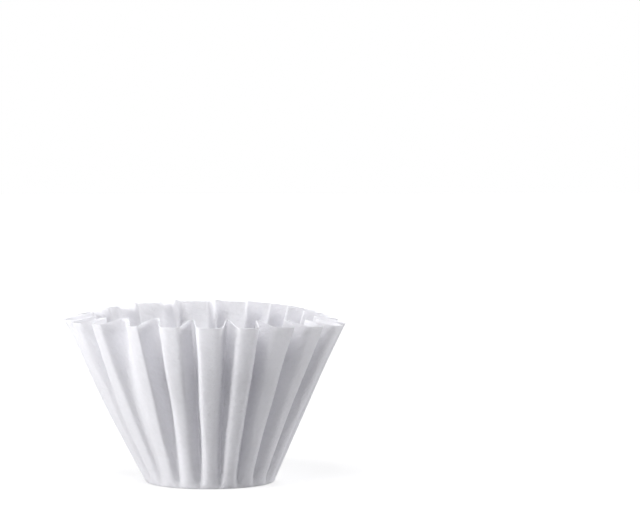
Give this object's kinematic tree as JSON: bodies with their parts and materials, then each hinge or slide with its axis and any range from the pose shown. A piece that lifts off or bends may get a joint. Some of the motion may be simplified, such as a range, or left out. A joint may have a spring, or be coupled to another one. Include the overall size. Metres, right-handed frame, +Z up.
{
  "type": "paper coffee filter",
  "caption": "White fluted paper coffee filter with a flat round base and a wavy wall that widens to an open mouth.",
  "frame": {"origin": "middle of the flat base, on its underside", "axes": "+Z up through the open mouth, -Y to the front as the object is usually seen, +X to the right"},
  "size_m": [0.0885, 0.0847, 0.0544],
  "materials": {
    "paper": "matt, finely creped"
  },
  "bodies": {
    "root": {"filter": "paper"}
  },
  "joints": []
}
